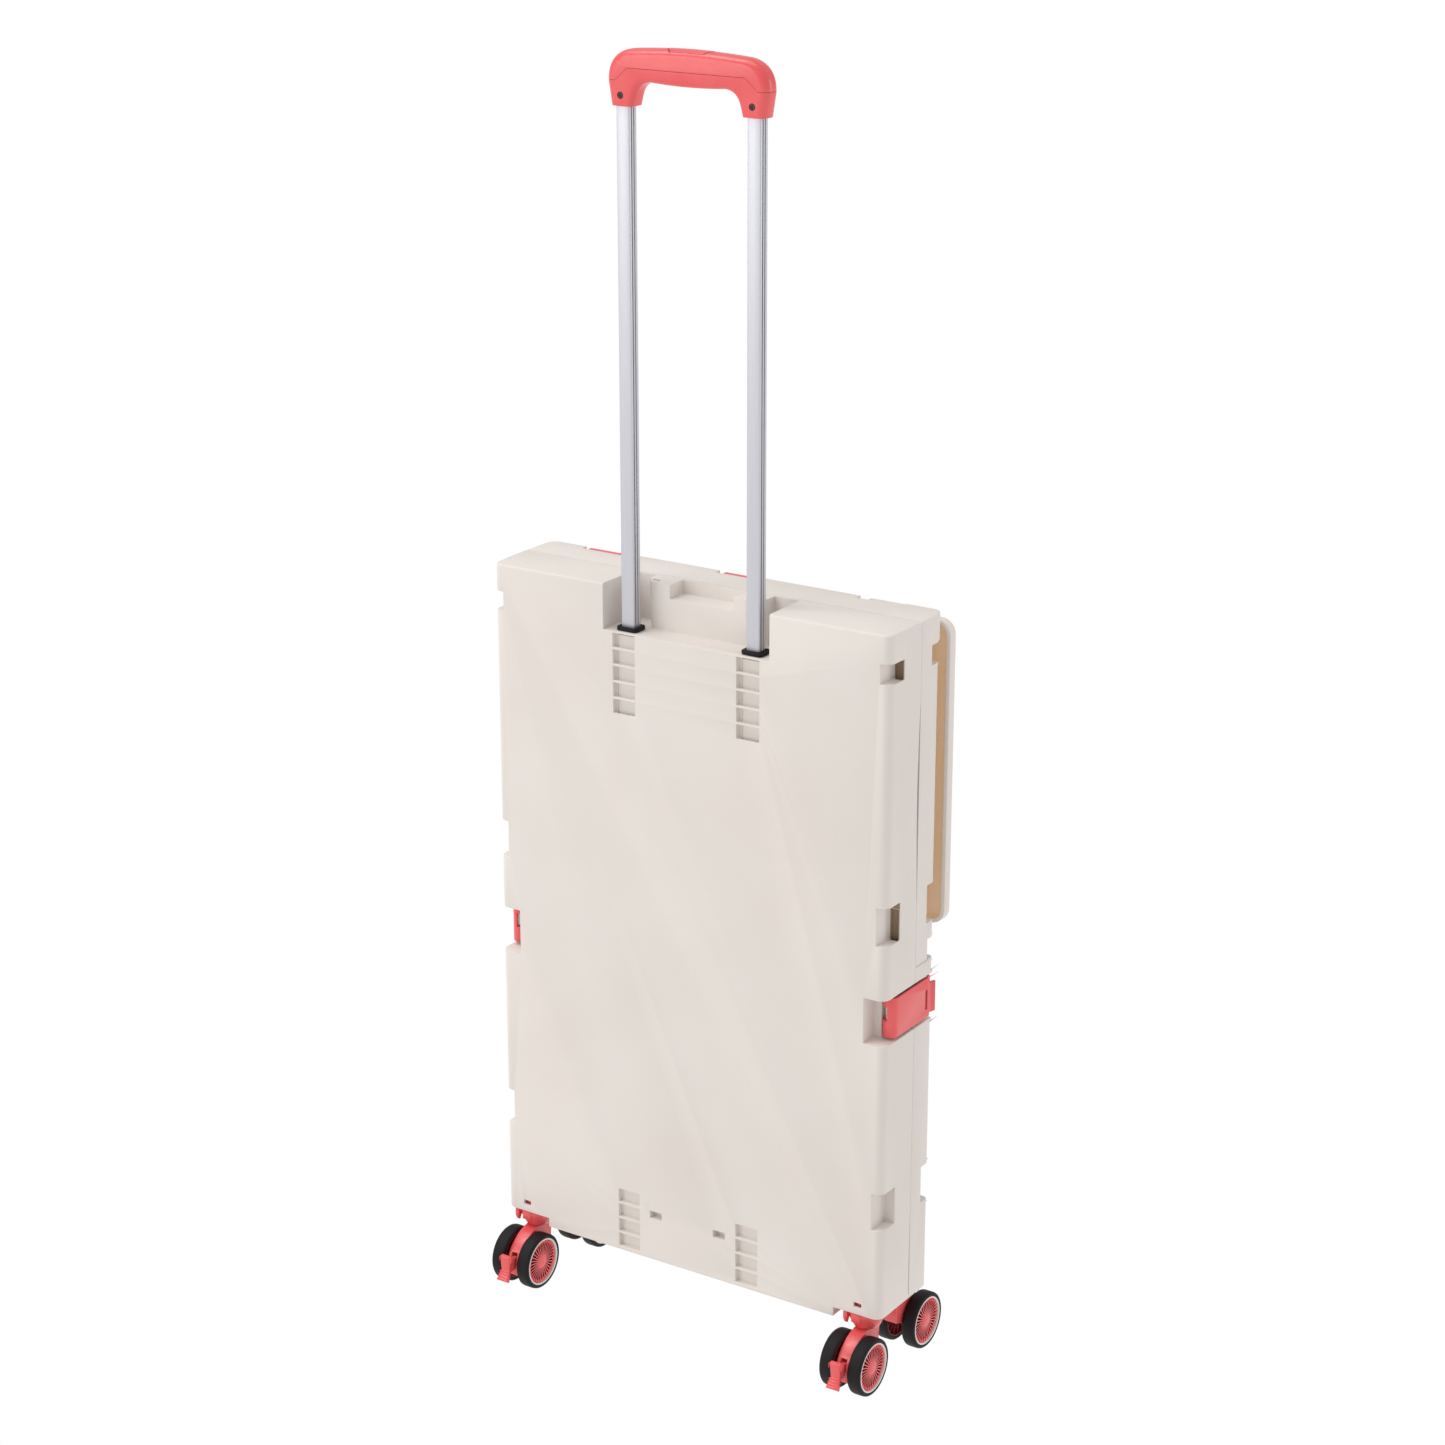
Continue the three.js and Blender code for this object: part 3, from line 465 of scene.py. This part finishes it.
softPieces()
print("softened copies made")


lidLook = {
    "edgeRadius": 0.8, "trayDepth": (87.4, 92.4), "trayHeight": (316.2, 560.5), "trayHalfWidth": 184.2,
}


def onPaintedTrayShade(face):
    # the sunk side of the board, inside its rim, which gets a tan painted shade and a painted glow
    x, y, z = spotOf(face)
    near, far = lidLook["trayDepth"]
    bottom, top = lidLook["trayHeight"]
    return abs(x) < lidLook["trayHalfWidth"] and near < y < far and bottom < z < top


def lid():
    shape = mergedCopy("lid")
    roundEdges(shape, sharpEdges(shape, 35), lidLook["edgeRadius"], 3)
    # the tray side gets the tan painted shade and its painted glow
    finishPiece("lidBoard", shape, "lid", second="paintedTrayShadeGlow", where=onPaintedTrayShade)


lid()
print("lid made")


gripLook = {
    "front": 3.5, "back": 20.5, "bottom": 946, "underside": 964.8, "outerRadius": 6.2, "innerRadius": 4.6,
    "gap": 0.15, "buttonFloor": 984, "buttonBottom": 987.2, "buttonSlack": 0.5, "buttonLift": 0.25,
    "screwX": 58.3, "screwZ": 954, "holeRadius": 2.75, "screwRadii": (2.45, 2.3), "crossArm": (2.9, 0.75),
}


def gripOutline():
    half = [
        *bezier(1, (68.5, 0, 946), (71.5, 0, 964)),
        *bezier(14, (71.5, 0, 964), (72, 0, 979), (63, 0, 988), (48, 0, 988.6)),
        *bezier(8, (48, 0, 988.6), (24, 0, 990.5), (0, 0, 990.5)),
    ]
    inner = [
        *bezier(8, (0, 0, 963.3), (16.5, 0, 963.3), (33, 0, 964.6)),
        *bezier(8, (33, 0, 964.6), (44, 0, 963.8), (46.5, 0, 953)),
        *bezier(1, (46.5, 0, 953), (48.3, 0, 946)),
    ]
    right = half + [Vector((0, 0, 990.5))]
    left = [Vector((-p.x, 0, p.z)) for p in reversed(half)]
    inside = inner + [Vector((48.3, 0, 946))]
    insideLeft = [Vector((-p.x, 0, p.z)) for p in reversed(inside)]
    return [at(p.x, gripLook["front"], p.z) for p in right + left + insideLeft[:-1] + inside]


def gripBody():
    depth = gripLook["back"] - gripLook["front"]
    shape = extruded(gripOutline(), Vector((0, depth * mm, 0)))
    bottom, middle = at(0, 0, gripLook["bottom"]).z, at(0, 0, gripLook["underside"]).z

    def isCorner(edge):
        # runs from front to back, and not along the bottom of a leg
        level = abs(edge.verts[0].co.y - edge.verts[1].co.y) < 0.1 * mm
        return level and not all(v.co.z < bottom + 0.1 * mm for v in edge.verts)

    def aroundFingers(edge):
        a, b = edge.verts
        return max(abs(a.co.x), abs(b.co.x)) < 48.5 * mm and max(a.co.z, b.co.z) < middle + 0.2 * mm

    outer = [e for e in sharpEdges(shape, 60) if isCorner(e) and not aroundFingers(e)]
    roundEdges(shape, outer, gripLook["outerRadius"], 6)
    inner = [e for e in sharpEdges(shape, 60) if isCorner(e) and aroundFingers(e)]
    roundEdges(shape, inner, gripLook["innerRadius"], 5)
    bmesh.ops.recalc_face_normals(shape, faces=shape.faces)
    return shape


def partingTool(lift):
    # all that lies above the line between the grip's base and its cover
    up = [(-90, 965), (-63, 965), (-52, 974.5), (52, 974.5), (63, 965), (90, 965), (90, 1010), (-90, 1010)]
    return extruded([at(x, -5, z + lift * (z < 1000)) for x, z in up], Vector((0, 40 * mm, 0)))


def buttonTool(grow, bottom):
    # a six-sided column with pointed ends
    end, tip = 15 + grow, 20.5 + 1.6 * grow
    front, middle, back = 5.6 - grow, 12, 18.4 + grow
    plan = [(-end, front), (end, front), (tip, middle), (end, back), (-end, back), (-tip, middle)]
    return extruded([at(x, y, bottom) for x, y in plan], Vector((0, 0, 12 * mm)))


def screwBarrel(side, y, radii, depth):
    # a round plug on a screw's axis
    shape = bmesh.new()
    middle = at(side * gripLook["screwX"], y, gripLook["screwZ"])
    turn = Matrix.Translation(middle) @ Matrix.Rotation(math.radians(90), 4, "X")
    bmesh.ops.create_cone(
        shape, cap_ends=True, segments=32, radius1=radii[0] * mm, radius2=radii[1] * mm, depth=depth * mm,
        matrix=turn,
    )
    return shape


def grip():
    base = carve(gripBody(), partingTool(-gripLook["gap"]))
    for side in (-1, 1):
        base = carve(base, screwBarrel(side, 3.4, [gripLook["holeRadius"]] * 2, 3.4))
    finishPiece("gripBase", base, "grip_base", angle=32)

    cover = carve(gripBody(), partingTool(gripLook["gap"]), "INTERSECT")
    cover = carve(cover, buttonTool(gripLook["buttonSlack"], gripLook["buttonFloor"]))
    finishPiece("gripCover", cover, "grip_cover", angle=32)

    button = carve(gripBody(), buttonTool(0, gripLook["buttonBottom"]), "INTERSECT")
    bmesh.ops.translate(button, verts=button.verts, vec=(0, 0, gripLook["buttonLift"] * mm))
    finishPiece("gripButton", button, "handle_button", angle=32)


def gripScrew(name, side, node):
    # a low round head with a cross in it
    shape = screwBarrel(side, 4.6, gripLook["screwRadii"], 1.6)
    roundEdges(shape, sharpEdges(shape, 60), 0.35, 3)
    long, short = gripLook["crossArm"]
    for wide, tall in ((long, short), (short, long)):
        cross = bmesh.new()
        middle = at(side * gripLook["screwX"], 3.8, gripLook["screwZ"])
        half = Vector((wide, 1.4, tall)) * mm / 2
        addBlock(cross, middle - half, middle + half)
        shape = carve(shape, cross)
    finishPiece(name, shape, node)


grip()
gripScrew("gripScrew_left", -1, "handle_screw_left")
gripScrew("gripScrewright", 1, "handle_screw_right")
print("grip made")


wheelLook = {
    "offset": 13, "slots": 32, "slotInner": 6.4, "slotOuter": 16.0, "slotFloor": 1.6, "slotTop": 4.4,
    # ribs: inner and outer radius, bottom and top, half width, and at every which slot
    "ribs": [
        (6.4, 16.2, 1.6, 4.55, 0.475, 1), (16, 18.4, 4, 4.85, 0.4275, 1), (7, 19.4, -3.8, -0.8, 0.475, 2),
    ],
    # outlines as radius and height
    "tyre": [
        (20.5, -5.4), (20.9, -5.85), (21.8, -6), (22.9, -5.7), (23.7, -4.8), (24, -3.4), (24, 3.4),
        (23.7, 4.8), (22.9, 5.7), (21.8, 6), (20.9, 5.85), (20.5, 5.4),
    ],
    "disc": [
        (0, 5.3), (4, 5.25), (5.2, 5), (6, 4.7), (6.4, 4.3), (6.5, 1.6), (16, 1.6), (16.1, 4),
        (16.4, 4.2), (18.2, 4.3), (18.6, 4), (19.2, 3.9), (19.4, 3), (20.5, 3), (20.5, -5.5), (19.4, -5.5),
        (18.6, -2), (8, -1), (7.4, -3.8), (6.8, -4), (0, -4),
    ],
    "ring": [
        (19.2, 2.5), (19.2, 5.3), (19.4, 5.7), (19.7, 5.8),
        (20.2, 5.8), (20.5, 5.6), (20.6, 5.1), (20.6, 2.5),
    ],
}


def wheelPlace(caster, side):
    # the wheel's own z is its axle, pointing out from the fork
    hubs = [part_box("wheel_hub_" + caster + "_" + letter) for letter in "ab"]
    middles = [(low + high) / 2 for low, high in hubs]
    out = (middles[side] - middles[1 - side]).normalized()
    away = Vector((0, 0, 1)).cross(out)
    spot = (middles[0] + middles[1]) / 2 + out * wheelLook["offset"] * mm
    turn = Matrix(((away.x, 0, out.x, 0), (away.y, 0, out.y, 0), (0, 1, 0, 0), (0, 0, 0, 1)))
    return Matrix.Translation(spot) @ turn


def inShade(face):
    # the slots between the ribs and the whole inner side, which hardly any light reaches
    spot = face.calc_center_median()
    away = math.hypot(spot.x, spot.y) / mm
    inner, outer = wheelLook["slotInner"], wheelLook["slotOuter"]
    inSlot = inner + 0.05 < away < outer + 0.05 and spot.z < wheelLook["slotTop"] * mm
    onFloor = inner + 0.2 < away < outer - 0.1 and abs(spot.z / mm - wheelLook["slotFloor"]) < 0.1
    return (inSlot and face.normal.z < 0.5) or onFloor or (face.normal.z < -0.1 and spot.z < 0)


def wheel(caster, side):
    place = wheelPlace(caster, side)
    name = caster + "_" + "ab"[side]
    tyre = spun(wheelLook["tyre"], 72)
    disc = spun(wheelLook["disc"], 64)
    for step in range(wheelLook["slots"]):
        verts = []
        for inner, outer, low, high, half, every in wheelLook["ribs"]:
            if step % every == 0:
                verts += addBlock(disc, Vector((inner, -half, low)) * mm, Vector((outer, half, high)) * mm)
        turn = Matrix.Rotation(2 * math.pi * step / wheelLook["slots"], 4, "Z")
        bmesh.ops.transform(disc, matrix=turn, verts=verts)
    ring = spun(wheelLook["ring"], 72)
    bmesh.ops.recalc_face_normals(disc, faces=disc.faces)
    disc.faces.index_update()
    shadedFaces = {face.index for face in disc.faces if inShade(face)}

    def isShaded(face):
        return face.index in shadedFaces

    for shape in (tyre, disc, ring):
        bmesh.ops.recalc_face_normals(shape, faces=shape.faces)
        bmesh.ops.transform(shape, matrix=place, verts=shape.verts)
    finishPiece("tyre_" + name, tyre, "tyre_" + name, angle=40)
    hub = "wheel_hub_" + name
    finishPiece("disc_" + name, disc, hub, second="slotShade", where=isShaded, angle=40)
    ringPiece = finishPiece("ring_" + name, ring, hub, finish="whiteRing", angle=40, replace=False)


casters = ("front_left", "front_right", "rear_left", "rear_right")
for caster in casters:
    wheel(caster, 0)
    wheel(caster, 1)
print("wheels made")


forkLook = {"edgeRadius": 0.5}


def fork(caster):
    node = "caster_fork_" + caster
    shape = mergedCopy(node)
    roundEdges(shape, sharpEdges(shape, 50), forkLook["edgeRadius"], 3)
    finishPiece("fork_" + caster, shape, node)


pedalLook = {
    "edgeRadius": 0.6,
    "widths": [(0.3, 1.18), (0.62, 0.86), (1.1, 1.0)],  # up to this share of the height, this much wider
    "ribs": 4, "ribBack": (0.55, 1.25), "ribRise": (2.4, 2.05),  # the first rib's place, then each step
    "ribHalf": (5.0, 0.45, 0.45),
}


def pedal(caster):
    # a plate with a wide foot and a waist, and grip ribs up its front
    node = "brake_pedal_" + caster
    low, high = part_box(node)
    middle = (low.x + high.x) / 2
    shape = mergedCopy(node)
    for vert in shape.verts:
        rise = (vert.co.z - low.z) / (high.z - low.z)
        wide = next(wide for level, wide in pedalLook["widths"] if rise < level)
        vert.co.x = middle + (vert.co.x - middle) * wide
    roundEdges(shape, sharpEdges(shape, 35), pedalLook["edgeRadius"], 3)
    half = Vector(pedalLook["ribHalf"]) * mm
    for step in range(pedalLook["ribs"]):
        back = pedalLook["ribBack"][0] + pedalLook["ribBack"][1] * step
        rise = pedalLook["ribRise"][0] + pedalLook["ribRise"][1] * step
        spot = Vector((middle, low.y + back * mm, low.z + rise * mm))
        addBlock(shape, spot - half, spot + half)
    finishPiece("pedal_" + caster, shape, node)


for caster in casters:
    fork(caster)
pedal("front_left")
pedal("front_right")
print("casters made")


studio = {
    "cameraAt": (1.3309, -2.0269, 1.3469), "pitch": 71.31, "yaw": 33.06, "lens": 80.44, "sensor": 36.0,
    "worldStrength": 0.62, "sunStrength": 1.1, "sunAngle": 50, "sunTilt": (-0.30, -0.22, 1.0),
    "softboxes": [  # name, place, aim, size, power
        ("keyLight", (-2.0, -2.8, 1.6), (0, 0, 0.5), (1.6, 1.8), 25),
        ("sideLight", (3.0, 2.0, 1.4), (0, 0, 0.5), (1.4, 1.8), 18),
        ("gripLight", (-1.1, -0.65, 2.7), (0, 0, 1.03), (0.4, 1.0), 7),
    ],
    "floorSize": 30,
}


def stand(name, data):
    made = bpy.data.objects.new(name, data)
    bpy.context.scene.collection.objects.link(made)
    return made


def buildCamera():
    lens = bpy.data.cameras.new("camera")
    lens.lens = studio["lens"]
    lens.sensor_width = studio["sensor"]
    camera = stand("camera", lens)
    camera.location = studio["cameraAt"]
    camera.rotation_euler = (math.radians(studio["pitch"]), 0, math.radians(studio["yaw"]))
    bpy.context.scene.camera = camera


def softbox(name, place, aim, size, power):
    lamp = bpy.data.lights.new(name, "AREA")
    lamp.shape = "RECTANGLE"
    lamp.size, lamp.size_y = size
    lamp.energy = power
    box = stand(name, lamp)
    box.location = place
    box.rotation_euler = (Vector(aim) - Vector(place)).to_track_quat("-Z", "Y").to_euler()


def buildLights():
    world = bpy.data.worlds.new("studio")
    world.use_nodes = True
    sky = world.node_tree.nodes["Background"]
    sky.inputs["Color"].default_value = (1, 1, 1, 1)
    sky.inputs["Strength"].default_value = studio["worldStrength"]
    bpy.context.scene.world = world
    for settings in studio["softboxes"]:
        softbox(*settings)
    sun = bpy.data.lights.new("topLight", "SUN")
    sun.energy = studio["sunStrength"]
    sun.angle = math.radians(studio["sunAngle"])
    top = stand("topLight", sun)
    top.location = (0, 0, 3)
    top.rotation_euler = (-Vector(studio["sunTilt"])).to_track_quat("-Z", "Y").to_euler()


def buildFloor():
    # a white sheet that lights itself, so it stays even right to its edges
    sheet = bmesh.new()
    bmesh.ops.create_grid(sheet, x_segments=1, y_segments=1, size=studio["floorSize"])
    floor = asObject("floor", sheet)
    paper = Finish("paper")
    paper.set(
        Base_Color=(0, 0, 0), Roughness=1.0, Specular_IOR_Level=0.0,
        Emission_Color=(1, 1, 1), Emission_Strength=1.0,
    )
    floor.data.materials.append(paper.material)


buildCamera()
buildLights()
buildFloor()
bpy.context.scene.view_settings.view_transform = "Standard"
bpy.context.scene.view_settings.look = "None"
print("studio set")
